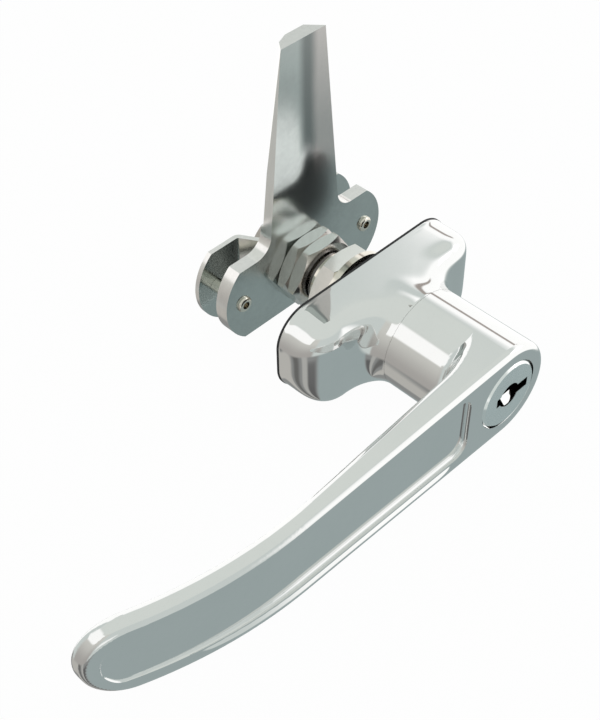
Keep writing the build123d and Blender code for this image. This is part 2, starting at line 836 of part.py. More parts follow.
# Keyway: two level arms joined by a slanted middle, beside a round hole
half_step = keyway_step / 2
half_width = keyway_width / 2
key_slope = keyway_width * 0.6
with BuildSketch() as keyway:
    with BuildLine():
        Polyline(
            (keyway_left, -half_step - half_width),
            (0, -half_step - half_width),
            (key_slope, half_step - half_width),
            (keyway_right, half_step - half_width),
            (keyway_right, half_step + half_width),
            (0, half_step + half_width),
            (-key_slope, -half_step + half_width),
            (keyway_left, -half_step + half_width),
            close=True,
        )
    make_face()
    with Locations((keyway_hole / 8, -keyway_hole / 2 + half_width / 2)):
        Circle(keyway_hole / 2)

# Lock plug: face, barrel, clip groove, keyway and wafer slots
wafer_places = [wafers_front + index * wafer_pitch for index in range(wafer_count)]
wafer_slot = wafer_thickness + running_clearance
lug_left = wafer_lug_start
lug_right = wafer_lug_start + wafer_lug_length
spring_middle = wafer_half_width + slot_clearance + spring_diameter / 2
with BuildPart() as lock_plug:
    with BuildSketch(at_depth(barrel_back)):
        Circle(barrel_radius)
    extrude(amount=barrel_back - face_back)
    with BuildSketch(at_depth(face_back)):
        Circle(lock_face_diameter / 2)
    extrude(amount=lock_face_thickness)
    chamfer(lock_plug.faces().sort_by(Axis.Y)[0].edges(), lock_face_chamfer)
    with BuildSketch(at_depth(clip_front + clip_thickness + fit_clearance)):
        Circle(lock_face_diameter)
        Circle(barrel_radius - clip_groove_depth, mode=Mode.SUBTRACT)
    extrude(amount=clip_thickness + 2 * fit_clearance, mode=Mode.SUBTRACT)
    # The entry in the face is wider than the keyway: a level slot with a round middle
    entry_length = key_entry_right - key_entry_left
    with BuildSketch(at_depth(face_back)):
        with Locations((key_entry_left + entry_length / 2, 0)):
            Rectangle(entry_length, key_entry_height)
        Circle(key_entry_hole / 2)
    extrude(amount=lock_face_thickness, mode=Mode.SUBTRACT)
    with BuildSketch(at_depth(lock_front + keyway_depth)):
        add(keyway.sketch)
    extrude(amount=lock_front + keyway_depth - face_back, mode=Mode.SUBTRACT)
    # A slot through the barrel and a spring pocket over it for each wafer
    for place in wafer_places:
        with BuildSketch(at_depth(place + wafer_slot)):
            Rectangle(2 * lock_face_diameter, 2 * wafer_half_width + running_clearance)
        extrude(amount=wafer_slot, mode=Mode.SUBTRACT)
        pocket_length = spring_length + wafer_lug_length + wafer_travel + 2 * running_clearance
        with BuildSketch(at_depth(place + (wafer_thickness + spring_diameter) / 2 + running_clearance)):
            with Locations((lug_left - spring_length - running_clearance, wafer_half_width)):
                Rectangle(
                    pocket_length,
                    wafer_lug_height + running_clearance,
                    align=(Align.MIN, Align.MIN),
                )
        extrude(amount=spring_diameter + 2 * running_clearance, mode=Mode.SUBTRACT)
save(lock_plug, "lock_plug")

# Wafers, level with the barrel as when the key is in, and their springs
with BuildPart() as wafer_tumblers:
    for place in wafer_places:
        with BuildSketch(at_depth(place + wafer_thickness + running_clearance / 2)):
            Circle(barrel_radius - fit_clearance)
            Rectangle(barrel_diameter, 2 * wafer_half_width, mode=Mode.INTERSECT)
            with Locations(((lug_left + lug_right) / 2, wafer_half_width + wafer_lug_height / 2)):
                Rectangle(wafer_lug_length, wafer_lug_height)
            with Locations((wafer_window_shift, 0)):
                RectangleRounded(
                    wafer_window_length, wafer_window_width, wafer_window_width / 5, mode=Mode.SUBTRACT
                )
        extrude(amount=wafer_thickness)
save(wafer_tumblers, "wafer_tumblers")
with BuildPart() as wafer_springs:
    for place in wafer_places:
        with BuildSketch(Plane.YZ.offset(lug_left - fit_clearance)):
            with Locations((place + wafer_slot / 2, spring_middle)):
                Circle(spring_diameter / 2)
                Circle(spring_diameter / 4, mode=Mode.SUBTRACT)
        extrude(amount=fit_clearance - spring_length)
save(wafer_springs, "wafer_springs")

# Clip that keeps the plug in its housing
with BuildPart() as plug_clip:
    with BuildSketch(at_depth(clip_front + clip_thickness)):
        Circle(clip_diameter / 2)
        Circle(barrel_radius - clip_groove_depth + fit_clearance, mode=Mode.SUBTRACT)
        with Locations((0, clip_diameter / 2)):
            Rectangle(clip_diameter / 2, clip_diameter, mode=Mode.SUBTRACT)
    extrude(amount=clip_thickness)
save(plug_clip, "plug_clip")

# Tailpiece: disc on the barrel's end, shaft down the neck and an eccentric pin
with BuildPart() as tailpiece:
    with BuildSketch(at_depth(tail_disc_back)):
        Circle(tail_disc_diameter / 2)
    extrude(amount=tail_disc_thickness)
    with BuildSketch(at_depth(eccentric_front)):
        Circle(tail_shaft_diameter / 2)
    extrude(amount=eccentric_front - tail_disc_back)
    with BuildSketch(at_depth(eccentric_front + eccentric_length)):
        with Locations((-eccentric_offset, eccentric_offset)):
            Circle(eccentric_diameter / 2)
    extrude(amount=eccentric_length)
save(tailpiece, "tailpiece")

# Locking bolt: slides across the spigot, driven by the eccentric pin in its slot
with BuildPart() as locking_bolt:
    with BuildSketch(at_depth(-bolt_channel_middle + bolt_depth / 2)):
        Circle(spigot_radius - running_clearance)
        with Locations(((bolt_front - bolt_back) / 2, 0)):
            Rectangle(bolt_back + bolt_front, bolt_width, mode=Mode.INTERSECT)
        slot_half = eccentric_diameter / 2 + drive_clearance
        slot_bottom = eccentric_offset - slot_half
        slot_top = eccentric_offset * sqrt(2) + slot_half
        with Locations((-eccentric_offset, (slot_bottom + slot_top) / 2)):
            Rectangle(2 * slot_half, slot_top - slot_bottom, mode=Mode.SUBTRACT)
    extrude(amount=bolt_depth)
save(locking_bolt, "locking_bolt")
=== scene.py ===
import json
import math

import bmesh
import bpy
import numpy as np
from mathutils import Matrix, Vector
from mathutils.bvhtree import BVHTree


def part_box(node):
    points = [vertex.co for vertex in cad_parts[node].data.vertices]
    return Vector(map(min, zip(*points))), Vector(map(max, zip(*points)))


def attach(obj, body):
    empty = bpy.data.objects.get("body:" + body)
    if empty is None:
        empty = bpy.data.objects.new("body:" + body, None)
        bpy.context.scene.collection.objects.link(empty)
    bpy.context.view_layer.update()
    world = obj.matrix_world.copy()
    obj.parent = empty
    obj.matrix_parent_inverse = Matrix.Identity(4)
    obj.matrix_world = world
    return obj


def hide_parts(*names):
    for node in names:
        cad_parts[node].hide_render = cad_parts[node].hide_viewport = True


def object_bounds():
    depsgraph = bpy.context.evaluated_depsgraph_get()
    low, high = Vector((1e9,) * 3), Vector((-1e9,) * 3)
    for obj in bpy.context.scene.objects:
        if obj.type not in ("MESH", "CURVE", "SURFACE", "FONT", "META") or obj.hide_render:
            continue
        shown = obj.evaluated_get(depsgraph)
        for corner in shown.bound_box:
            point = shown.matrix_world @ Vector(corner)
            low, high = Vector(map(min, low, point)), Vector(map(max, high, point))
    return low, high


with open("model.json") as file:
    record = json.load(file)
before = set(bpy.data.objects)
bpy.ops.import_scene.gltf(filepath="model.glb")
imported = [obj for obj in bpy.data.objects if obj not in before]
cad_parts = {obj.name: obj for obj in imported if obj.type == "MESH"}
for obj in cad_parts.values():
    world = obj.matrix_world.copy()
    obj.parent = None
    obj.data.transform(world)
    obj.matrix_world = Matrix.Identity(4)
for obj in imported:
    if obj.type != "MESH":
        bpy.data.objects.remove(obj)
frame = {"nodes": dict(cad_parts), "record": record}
cad_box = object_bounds()

# Lengths are in metres. The spindle lies along Y, with the handle in front of the panel at -Y

MM = 0.001

# escutcheon: its skin's grid, its bore with what is cut into it, and its boss
SKIN_TURNS = 432
SKIN_ROWS = 120
BACK_EDGE = -0.5 * MM
COLLAR_LIFT = 0.1 * MM
BORE_RADIUS = 9.3 * MM
BORE_END = -3.2 * MM
BOLT_NOTCHES = (-17.0 * MM, -12.0 * MM)
STOP_GROOVE = (-9.3 * MM, -5.9 * MM)
STEP_ROUND = 0.02 * MM
BOSS_RADIUS = 7.9 * MM
BOSS_BORE = 6.1 * MM
BOSS_CHAMFER = 0.5 * MM

# nuts
PANEL_NUT_BORE = 7.95 * MM
CAM_NUT_BORE = 6.05 * MM
REAR_NUT_BORE = 5.05 * MM
NUT_MOUTH_CHAMFER = 0.4 * MM
NUT_LAND_SHARE = 0.985
NUT_CORNER_ANGLE = math.radians(30.0)

# lock face, the frontmost face of the whole latch, and the shutter behind the key's entry
LOCK_FACE = cad_box[0].y
LOCK_BEVEL_RADIUS = 8.9 * MM
ENTRY_RADIUS = 3.4 * MM
SHUTTER_FRONT = LOCK_FACE + 0.25 * MM
SHUTTER_BACK = LOCK_FACE + 2.0 * MM
SHUTTER_LOW = -3.35 * MM
SHUTTER_LEFT = -1.2 * MM
SHUTTER_ROUND = 0.08 * MM

# lever's lower lip, which stays behind the lock face and is shaded fuller than it is
LIP_TIP_END = -106.0 * MM
LIP_HUB_END = -17.0 * MM
LIP_STATION_STEP = 1.0 * MM
LIP_FRONT_LIMIT = LOCK_FACE + 0.05 * MM
LIP_HEIGHT = 0.25 * MM
LIP_SHADED_HEIGHT = 0.95 * MM
LIP_GAP = 0.4 * MM

# An exponent under 1 puts the lip's fullest line below its middle
LIP_FULLEST_LOW = 0.66


# shader node helpers


def feed(tree, socket, value):
    """Link another node's output to the socket, or set the socket to a plain value."""
    if isinstance(value, bpy.types.NodeSocket):
        tree.links.new(value, socket)
    else:
        socket.default_value = value


def new_material(name):
    material = bpy.data.materials.new(name)
    material.use_nodes = True
    tree = material.node_tree
    return material, tree, tree.nodes["Principled BSDF"]


def new_group(name, inputs, outputs):
    group = bpy.data.node_groups.new(name, "ShaderNodeTree")
    for label, kind, value in inputs:
        socket = group.interface.new_socket(name=label, in_out="INPUT", socket_type=kind)
        socket.default_value = value
    for label, kind in outputs:
        group.interface.new_socket(name=label, in_out="OUTPUT", socket_type=kind)
    entry = group.nodes.new("NodeGroupInput")
    leave = group.nodes.new("NodeGroupOutput")
    return group, entry.outputs, leave.inputs


def use_group(tree, group, **values):
    node = tree.nodes.new("ShaderNodeGroup")
    node.node_tree = group
    for label, value in values.items():
        feed(tree, node.inputs[label.replace("_", " ")], value)
    return node.outputs


def math_node(tree, operation, *values):
    node = tree.nodes.new("ShaderNodeMath")
    node.operation = operation
    for socket, value in zip(node.inputs, values):
        feed(tree, socket, value)
    return node.outputs[0]


def inverse(tree, mask):
    return math_node(tree, "SUBTRACT", 1.0, mask)


def both(tree, first, second):
    return math_node(tree, "MULTIPLY", first, second)


def either(tree, first, second):
    return math_node(tree, "MAXIMUM", first, second)


def ramp(tree, value, start, end, interpolation="LINEAR"):
    """0 before start, 1 after end, and a rise between them."""
    node = tree.nodes.new("ShaderNodeMapRange")
    node.interpolation_type = interpolation
    feed(tree, node.inputs["From Min"], start)
    feed(tree, node.inputs["From Max"], end)
    feed(tree, node.inputs["Value"], value)
    return node.outputs["Result"]


def soft_step(tree, value, start, end):
    return ramp(tree, value, start, end, "SMOOTHSTEP")


def window(tree, value, rise_start, rise_end, fall_start, fall_end):
    """1 between the rise and the fall, 0 outside them."""
    rise = soft_step(tree, value, rise_start, rise_end)
    fall = soft_step(tree, value, fall_start, fall_end)
    return both(tree, rise, inverse(tree, fall))


def noise_node(tree, place, scale, detail, roughness):
    node = tree.nodes.new("ShaderNodeTexNoise")
    feed(tree, node.inputs["Vector"], place)
    feed(tree, node.inputs["Scale"], scale)
    feed(tree, node.inputs["Detail"], detail)
    feed(tree, node.inputs["Roughness"], roughness)
    return node.outputs["Fac"]


def mix_colours(tree, factor, first, second):
    node = tree.nodes.new("ShaderNodeMix")
    node.data_type = "RGBA"
    feed(tree, node.inputs[0], factor)
    feed(tree, node.inputs[6], first)
    feed(tree, node.inputs[7], second)
    return node.outputs[2]


def bump(tree, height, strength, distance):
    node = tree.nodes.new("ShaderNodeBump")
    node.inputs["Strength"].default_value = strength
    node.inputs["Distance"].default_value = distance
    tree.links.new(height, node.inputs["Height"])
    return node.outputs["Normal"]


def object_place(tree):
    return tree.nodes.new("ShaderNodeTexCoord").outputs["Object"]


def object_normal(tree):
    return tree.nodes.new("ShaderNodeTexCoord").outputs["Normal"]


def split(tree, vector):
    """The X, Y and Z outputs of a vector."""
    parts = tree.nodes.new("ShaderNodeSeparateXYZ")
    tree.links.new(vector, parts.inputs[0])
    return parts.outputs["X"], parts.outputs["Y"], parts.outputs["Z"]


def join(tree, axis, value):
    """A vector with one part given and the others 0."""
    whole = tree.nodes.new("ShaderNodeCombineXYZ")
    tree.links.new(value, whole.inputs[axis])
    return whole.outputs[0]


def off_spindle(tree, place):
    """How far a place lies from the spindle's line."""
    across, _, up = split(tree, place)
    squares = math_node(tree, "ADD", both(tree, across, across), both(tree, up, up))
    return math_node(tree, "SQRT", squares)


# finishes that several materials share


def make_handled_finish():
    """Roughness and tint of a metal surface that hands and a polishing wheel have been over."""
    group, entry, leave = new_group(
        "handled_finish",
        [
            ("Clean", "NodeSocketColor", (0.8, 0.8, 0.8, 1.0)),
            ("Dulled", "NodeSocketColor", (0.6, 0.6, 0.6, 1.0)),
            ("Smooth", "NodeSocketFloat", 0.06),
            ("Rough", "NodeSocketFloat", 0.16),
            ("Patch Size", "NodeSocketFloat", 60.0),
        ],
        [("Color", "NodeSocketColor"), ("Roughness", "NodeSocketFloat")],
    )
    speckle_scale = 700.0
    broad_share = 0.75
    clean_below, dulled_above = 0.35, 0.68
    place = object_place(group)
    broad = noise_node(group, place, entry["Patch Size"], detail=4.0, roughness=0.55)
    fine = noise_node(group, place, speckle_scale, detail=2.0, roughness=0.5)
    fine = math_node(group, "MULTIPLY", fine, 1.0 - broad_share)
    patches = math_node(group, "MULTIPLY_ADD", broad, broad_share, fine)
    patches = ramp(group, patches, clean_below, dulled_above)
    span = math_node(group, "SUBTRACT", entry["Rough"], entry["Smooth"])
    roughness = math_node(group, "MULTIPLY_ADD", patches, span, entry["Smooth"])
    group.links.new(mix_colours(group, patches, entry["Clean"], entry["Dulled"]), leave["Color"])
    group.links.new(roughness, leave["Roughness"])
    return group


def make_cut_edges():
    """1 on the sheared rim of a plate that lies across the spindle, 0 on its two broad faces."""
    group, entry, leave = new_group(
        "cut_edges", [("Start", "NodeSocketFloat", 0.9)], [("Mask", "NodeSocketFloat")]
    )
    broad_face = 0.985
    _, along_spindle, _ = split(group, object_normal(group))
    facing = math_node(group, "ABSOLUTE", along_spindle)
    mask = inverse(group, soft_step(group, facing, entry["Start"], broad_face))
    group.links.new(mask, leave["Mask"])
    return group


def make_corner_highlight():
    """1 on what lies further from the spindle's line than Start, such as a nut's corners, which get a
    painted highlight.
    """
    group, entry, leave = new_group(
        "corner_highlight",
        [("Start", "NodeSocketFloat", 11.0 * MM), ("End", "NodeSocketFloat", 11.5 * MM)],
        [("Mask", "NodeSocketFloat")],
    )
    grain_scale, broken_by = 900.0, 0.6 * MM
    place = object_place(group)
    grain = noise_node(group, place, grain_scale, detail=3.0, roughness=0.6)
    grain = math_node(group, "SUBTRACT", grain, 0.5)
    radius = math_node(group, "MULTIPLY_ADD", grain, broken_by, off_spindle(group, place))
    group.links.new(ramp(group, radius, entry["Start"], entry["End"]), leave["Mask"])
    return group


def make_drawn_lines():
    """Fine lines that run one way, as rolling or shearing leaves them. Stretch sets each axis."""
    group, entry, leave = new_group(
        "drawn_lines",
        [("Stretch", "NodeSocketVector", (1.0, 1.0, 1.0)), ("Fineness", "NodeSocketFloat", 900.0)],
        [("Lines", "NodeSocketFloat")],
    )
    product = group.nodes.new("ShaderNodeVectorMath")
    product.operation = "MULTIPLY"
    group.links.new(object_place(group), product.inputs[0])
    group.links.new(entry["Stretch"], product.inputs[1])
    lines = noise_node(
        group, product.outputs["Vector"], entry["Fineness"], detail=3.0, roughness=0.6
    )
    group.links.new(lines, leave["Lines"])
    return group


def make_turned_rings():
    """Fine rings round the spindle's line, as a lathe or a satin brush leaves them."""
    group, entry, leave = new_group(
        "turned_rings", [("Pitch", "NodeSocketFloat", 9000.0)], [("Rings", "NodeSocketFloat")]
    )
    count = both(group, off_spindle(group, object_place(group)), entry["Pitch"])
    rings = noise_node(group, join(group, "X", count), 1.0, detail=2.0, roughness=0.6)
    group.links.new(rings, leave["Rings"])
    return group


def make_tongue_bow_and_reflections():
    """The cam's rolled tongue: a hollow that tips its left half up, and painted reflections of a dark band
    and a warm side.
    """
    group, entry, leave = new_group(
        "tongue_bow_and_reflections",
        [("Tilt", "NodeSocketFloat", 0.16)],
        [("Normal", "NodeSocketVector"), ("Reflected_Streak", "NodeSocketFloat"), ("Warm_Reflection", "NodeSocketFloat")],
    )
    wander_scale, wander_size = 40.0, 3.0 * MM
    front_face = (0.90, 0.97)
    root = (24.0 * MM, 34.0 * MM)
    hollow_end, hollow_slant = (57.0 * MM, 34.0 * MM), 0.6
    left_half = (1.5 * MM, -5.0 * MM)
    reflected_streak_left, reflected_streak_right = (-2.4 * MM, 0.8 * MM), (5.0 * MM, 1.6 * MM)
    warm_reflection_side = (1.2 * MM, 4.0 * MM)

    # where on the tongue, with edges that wander a little
    place = object_place(group)
    across, _, up = split(group, place)
    wander = noise_node(group, place, wander_scale, detail=2.0, roughness=0.5)
    wander = math_node(group, "SUBTRACT", wander, 0.5)
    across = math_node(group, "MULTIPLY_ADD", wander, wander_size, across)
    _, backward, _ = split(group, object_normal(group))
    front = soft_step(group, math_node(group, "MULTIPLY", backward, -1.0), *front_face)
    tongue = both(group, front, soft_step(group, up, *root))

    # hollow
    rise = soft_step(group, math_node(group, "MULTIPLY_ADD", across, hollow_slant, up), *hollow_end)
    tipped = both(group, tongue, both(group, rise, soft_step(group, across, *left_half)))
    turned = group.nodes.new("ShaderNodeVectorMath")
    group.links.new(object_normal(group), turned.inputs[0])
    group.links.new(join(group, "Z", both(group, tipped, entry["Tilt"])), turned.inputs[1])
    to_room = group.nodes.new("ShaderNodeVectorTransform")
    to_room.vector_type = "NORMAL"
    to_room.convert_from = "OBJECT"
    to_room.convert_to = "WORLD"
    group.links.new(turned.outputs["Vector"], to_room.inputs[0])
    group.links.new(to_room.outputs[0], leave["Normal"])

    # painted reflections: the dark band and the warm side
    reflected_streak = both(
        group, soft_step(group, across, *reflected_streak_left), soft_step(group, across, *reflected_streak_right)
    )
    group.links.new(both(group, tongue, reflected_streak), leave["Reflected_Streak"])
    group.links.new(both(group, tongue, soft_step(group, across, *warm_reflection_side)), leave["Warm_Reflection"])
    return group


def make_highlit_flats():
    """1 on the flats of a bar that face up or down, where a painted highlight makes them brighter than its
    others.
    """
    group, entry, leave = new_group(
        "highlit_flats", [("Start", "NodeSocketFloat", 0.8)], [("Mask", "NodeSocketFloat")]
    )
    level_above = 0.98
    _, _, up = split(group, object_normal(group))
    level = math_node(group, "ABSOLUTE", up)
    group.links.new(ramp(group, level, entry["Start"], level_above), leave["Mask"])
    return group


def make_keyhole_shade_and_wear():
    """Painted shade that darkens the key's entry with depth, and a burnished bevel round the face of the
    lock.
    """
    group, entry, leave = new_group(
        "keyhole_shade_and_wear",
        [("Face", "NodeSocketFloat", LOCK_FACE), ("Bevel", "NodeSocketFloat", LOCK_BEVEL_RADIUS)],
        [("Hole_Shade", "NodeSocketFloat"), ("Burnish", "NodeSocketFloat")],
    )
    bevel_edge = (-0.04 * MM, 0.04 * MM)
    hole_shade_depth = (0.06 * MM, 0.35 * MM)
    burnish_depth = (0.6 * MM, 0.9 * MM)
    place = object_place(group)
    _, backward, _ = split(group, place)
    depth = math_node(group, "SUBTRACT", backward, entry["Face"])
    past_bevel = math_node(group, "SUBTRACT", off_spindle(group, place), entry["Bevel"])
    outside = soft_step(group, past_bevel, *bevel_edge)
    # painted shade: darker the deeper into the key's entry
    hole_shade = both(group, inverse(group, outside), soft_step(group, depth, *hole_shade_depth))
    burnish = both(group, outside, inverse(group, soft_step(group, depth, *burnish_depth)))
    group.links.new(hole_shade, leave["Hole_Shade"])
    group.links.new(burnish, leave["Burnish"])
    return group


handled_finish = make_handled_finish()
cut_edges = make_cut_edges()
corner_highlight = make_corner_highlight()
drawn_lines = make_drawn_lines()
turned_rings = make_turned_rings()
tongue_bow_and_reflections = make_tongue_bow_and_reflections()
highlit_flats = make_highlit_flats()
keyhole_shade_and_wear = make_keyhole_shade_and_wear()


# materials


def make_polished_chrome():
    material, tree, shader = new_material("polished_chrome")
    finish = use_group(
        tree, handled_finish,
        Clean=(0.86, 0.86, 0.855, 1.0), Dulled=(0.83, 0.835, 0.83, 1.0),
        Smooth=0.03, Rough=0.07, Patch_Size=45.0,
    )
    shader.inputs["Metallic"].default_value = 1.0
    tree.links.new(finish["Color"], shader.inputs["Base Color"])
    tree.links.new(finish["Roughness"], shader.inputs["Roughness"])
    ripple = noise_node(tree, object_place(tree), 55.0, detail=2.0, roughness=0.4)
    ripple = bump(tree, ripple, strength=0.1, distance=0.1 * MM)
    tree.links.new(ripple, shader.inputs["Normal"])
    return material


def make_satin_lock():
    hole_shade_brown = (0.030, 0.018, 0.016, 1.0)
    burnished_white = (0.96, 0.97, 0.96, 1.0)
    burnish_smoother_by = 0.12
    material, tree, shader = new_material("satin_lock")
    finish = use_group(
        tree, handled_finish,
        Clean=(0.90, 0.94, 0.94, 1.0), Dulled=(0.80, 0.84, 0.84, 1.0),
        Smooth=0.20, Rough=0.28, Patch_Size=160.0,
    )
    shade_and_wear = use_group(tree, keyhole_shade_and_wear)
    # painted shade down the key's entry, near black
    colour = mix_colours(tree, shade_and_wear["Hole_Shade"], finish["Color"], hole_shade_brown)
    colour = mix_colours(tree, shade_and_wear["Burnish"], colour, burnished_white)
    gloss = math_node(
        tree, "MULTIPLY_ADD", shade_and_wear["Burnish"], -burnish_smoother_by, finish["Roughness"]
    )
    rings = use_group(tree, turned_rings, Pitch=9000.0)["Rings"]
    shader.inputs["Metallic"].default_value = 1.0
    tree.links.new(colour, shader.inputs["Base Color"])
    tree.links.new(gloss, shader.inputs["Roughness"])
    rings = bump(tree, rings, strength=0.15, distance=0.02 * MM)
    tree.links.new(rings, shader.inputs["Normal"])
    return material


def add_tongue_bow_and_reflections(tree, colour):
    """Lay the tongue's painted reflections, its warm side and dark band, over a colour. Its tipped normal
    comes with it.
    """
    # painted reflections: a warm pinkish side and a dark grey band
    warm_reflection_side = (0.60, 0.565, 0.55, 1.0)
    reflected_streak_grey = (0.17, 0.18, 0.18, 1.0)
    reflected_streak_strength = 0.75
    bow_and_reflections = use_group(tree, tongue_bow_and_reflections)
    colour = mix_colours(tree, bow_and_reflections["Warm_Reflection"], colour, warm_reflection_side)
    reflected_streak = math_node(tree, "MULTIPLY", bow_and_reflections["Reflected_Streak"], reflected_streak_strength)
    return mix_colours(tree, reflected_streak, colour, reflected_streak_grey), bow_and_reflections["Normal"]


def add_pale_edges(tree, colour, lines, group, values, pale):
    """Lay a pale, lined colour over the edges that a mask group finds."""
    dark_share = 0.86
    darker = tuple(dark_share * part for part in pale[:3]) + (1.0,)
    streaks = mix_colours(tree, lines, pale, darker)
    return mix_colours(tree, use_group(tree, group, **values)["Mask"], colour, streaks)


def make_steel(
    name, clean, dulled, gloss, patch_size, stretch, fineness, line_depth,
    flats=None, edges=None, bowed_with_reflections=False,
):
    """Plated steel: its two tints, its gloss, the lines that its making left, and its paler parts, among
    them painted highlights and reflections.

    edges holds the mask group that finds the edges, its values and the edges' pale colour.
    """
    line_strength = 0.12
    smooth, rough = gloss
    material, tree, shader = new_material(name)
    finish = use_group(
        tree, handled_finish,
        Clean=clean, Dulled=dulled, Smooth=smooth, Rough=rough, Patch_Size=patch_size,
    )
    colour = finish["Color"]
    lines = use_group(tree, drawn_lines, Stretch=stretch, Fineness=fineness)["Lines"]
    grain = bump(tree, lines, strength=line_strength, distance=line_depth)
    if bowed_with_reflections:
        # painted reflections on the tongue, with its tipped normal
        colour, tipped = add_tongue_bow_and_reflections(tree, colour)
        tree.links.new(tipped, grain.node.inputs["Normal"])
    if flats is not None:
        colour = mix_colours(tree, use_group(tree, highlit_flats)["Mask"], colour, flats)
    if edges is not None:
        colour = add_pale_edges(tree, colour, lines, *edges)
    shader.inputs["Metallic"].default_value = 1.0
    tree.links.new(colour, shader.inputs["Base Color"])
    tree.links.new(finish["Roughness"], shader.inputs["Roughness"])
    tree.links.new(grain, shader.inputs["Normal"])
    return material


def make_black_rubber():
    fresh, chalky = (0.008, 0.008, 0.009, 1.0), (0.022, 0.022, 0.024, 1.0)
    least_rough, rougher_by = 0.5, 0.25
    material, tree, shader = new_material("black_rubber")
    grain = noise_node(tree, object_place(tree), 1800.0, detail=3.0, roughness=0.6)
    broad = noise_node(tree, object_place(tree), 90.0, detail=3.0, roughness=0.5)
    rough = math_node(tree, "MULTIPLY_ADD", grain, rougher_by, least_rough)
    tree.links.new(mix_colours(tree, broad, fresh, chalky), shader.inputs["Base Color"])
    tree.links.new(rough, shader.inputs["Roughness"])
    tree.links.new(bump(tree, grain, strength=0.5, distance=0.04 * MM), shader.inputs["Normal"])
    return material


polished_chrome = make_polished_chrome()
satin_lock = make_satin_lock()
black_rubber = make_black_rubber()
cam_steel = make_steel(
    "cam_steel", clean=(0.56, 0.60, 0.585, 1.0), dulled=(0.47, 0.50, 0.49, 1.0),
    gloss=(0.14, 0.21), patch_size=60.0,
    stretch=(1.0, 1.0, 0.06), fineness=900.0, line_depth=0.008 * MM,
    # the tongue gets painted reflections along with its tipped normal
    edges=(cut_edges, {"Start": 0.9}, (0.92, 0.90, 0.88, 1.0)), bowed_with_reflections=True,
)
nut_steel = make_steel(
    "nut_steel", clean=(0.66, 0.64, 0.61, 1.0), dulled=(0.56, 0.53, 0.50, 1.0),
    gloss=(0.13, 0.22), patch_size=120.0,
    stretch=(1.0, 0.2, 1.0), fineness=2200.0, line_depth=0.006 * MM,
    # painted highlight on the flats that face up or down
    flats=(0.97, 0.98, 0.95, 1.0),
    # painted highlight: the nut's corners are paler than the rest
    edges=(corner_highlight, {"Start": 11.1 * MM, "End": 11.6 * MM}, (0.80, 0.77, 0.72, 1.0)),
)
# a paler copy of the nut steel for the panel nut, a painted highlight that makes it brighter than the other
# nuts
brightened_nut_steel = make_steel(
    "brightened_nut_steel", clean=(0.97, 0.95, 0.92, 1.0), dulled=(0.88, 0.86, 0.83, 1.0),
    gloss=(0.13, 0.22), patch_size=120.0,
    stretch=(1.0, 0.2, 1.0), fineness=1500.0, line_depth=0.006 * MM,
)
bright_steel = make_steel(
    "bright_steel", clean=(0.80, 0.76, 0.68, 1.0), dulled=(0.70, 0.66, 0.58, 1.0),
    gloss=(0.10, 0.20), patch_size=150.0,
    stretch=(1.0, 3.0, 1.0), fineness=2500.0, line_depth=0.005 * MM,
)
shutter_steel = make_steel(
    "shutter_steel", clean=(0.97, 0.97, 0.96, 1.0), dulled=(0.90, 0.90, 0.89, 1.0),
    gloss=(0.06, 0.12), patch_size=300.0,
    stretch=(3.0, 1.0, 1.0), fineness=900.0, line_depth=0.005 * MM,
)
spring_steel = make_steel(
    "spring_steel", clean=(0.32, 0.31, 0.30, 1.0), dulled=(0.22, 0.21, 0.21, 1.0),
    gloss=(0.20, 0.34), patch_size=150.0,
    stretch=(1.0, 1.0, 1.0), fineness=3000.0, line_depth=0.008 * MM,
)
wafer_brass = make_steel(
    "wafer_brass", clean=(0.80, 0.62, 0.30, 1.0), dulled=(0.62, 0.46, 0.20, 1.0),
    gloss=(0.18, 0.34), patch_size=200.0,
    stretch=(0.2, 1.0, 1.0), fineness=3000.0, line_depth=0.008 * MM,
)

slot_material = {
    "chrome_casting": polished_chrome,
    "lock_zinc": satin_lock,
    "cam_steel": cam_steel,
    "nut_steel": nut_steel,
    "bright_steel": bright_steel,
    "spring_steel": spring_steel,
    "wafer_brass": wafer_brass,
    "black_rubber": black_rubber,
}


def dress_solids():
    """Give each solid of the frame the material of its slot in the record."""
    node_slot = {row["node"]: row["material_slot"] for row in frame["record"]["subparts"]}
    for node, piece in frame["nodes"].items():
        material = slot_material.get(node_slot.get(node), bright_steel)
        if not piece.material_slots:
            piece.data.materials.append(material)
        for place in piece.material_slots:
            place.material = material


dress_solids()


# pieces, from rings of vertices round the spindle's line


def on_circle(radius, depth, turn, turns):
    angle = 2.0 * math.pi * turn / turns
    return radius * math.cos(angle), depth, radius * math.sin(angle)


def bridge_rings(shape, rings):
    """Quads between one closed ring of vertices and the next."""
    for near, far in zip(rings[:-1], rings[1:]):
        count = len(near)
        for index in range(count):
            after = (index + 1) % count
            shape.faces.new((near[index], near[after], far[after], far[index]))


def link_piece(name, shape, material, body, replaced=None, crease=40.0, bevel=None):
    """Finish a bmesh as a smooth piece with crisp creases that rides on a body."""
    bmesh.ops.recalc_face_normals(shape, faces=shape.faces)
    mesh = bpy.data.meshes.new(name)
    shape.to_mesh(mesh)
    shape.free()
    for face in mesh.polygons:
        face.use_smooth = True
    mesh.set_sharp_from_angle(angle=math.radians(crease))
    mesh.materials.append(material)
    piece = bpy.data.objects.new(name, mesh)
    bpy.context.scene.collection.objects.link(piece)
    if bevel is not None:
        rounding = piece.modifiers.new("edge_round", "BEVEL")
        rounding.width = bevel
        rounding.segments = 2
        rounding.limit_method = "ANGLE"
        rounding.angle_limit = math.radians(24.0)
        rounding.harden_normals = True
    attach(piece, body)
    if replaced:
        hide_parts(replaced)
    return piece


# escutcheon


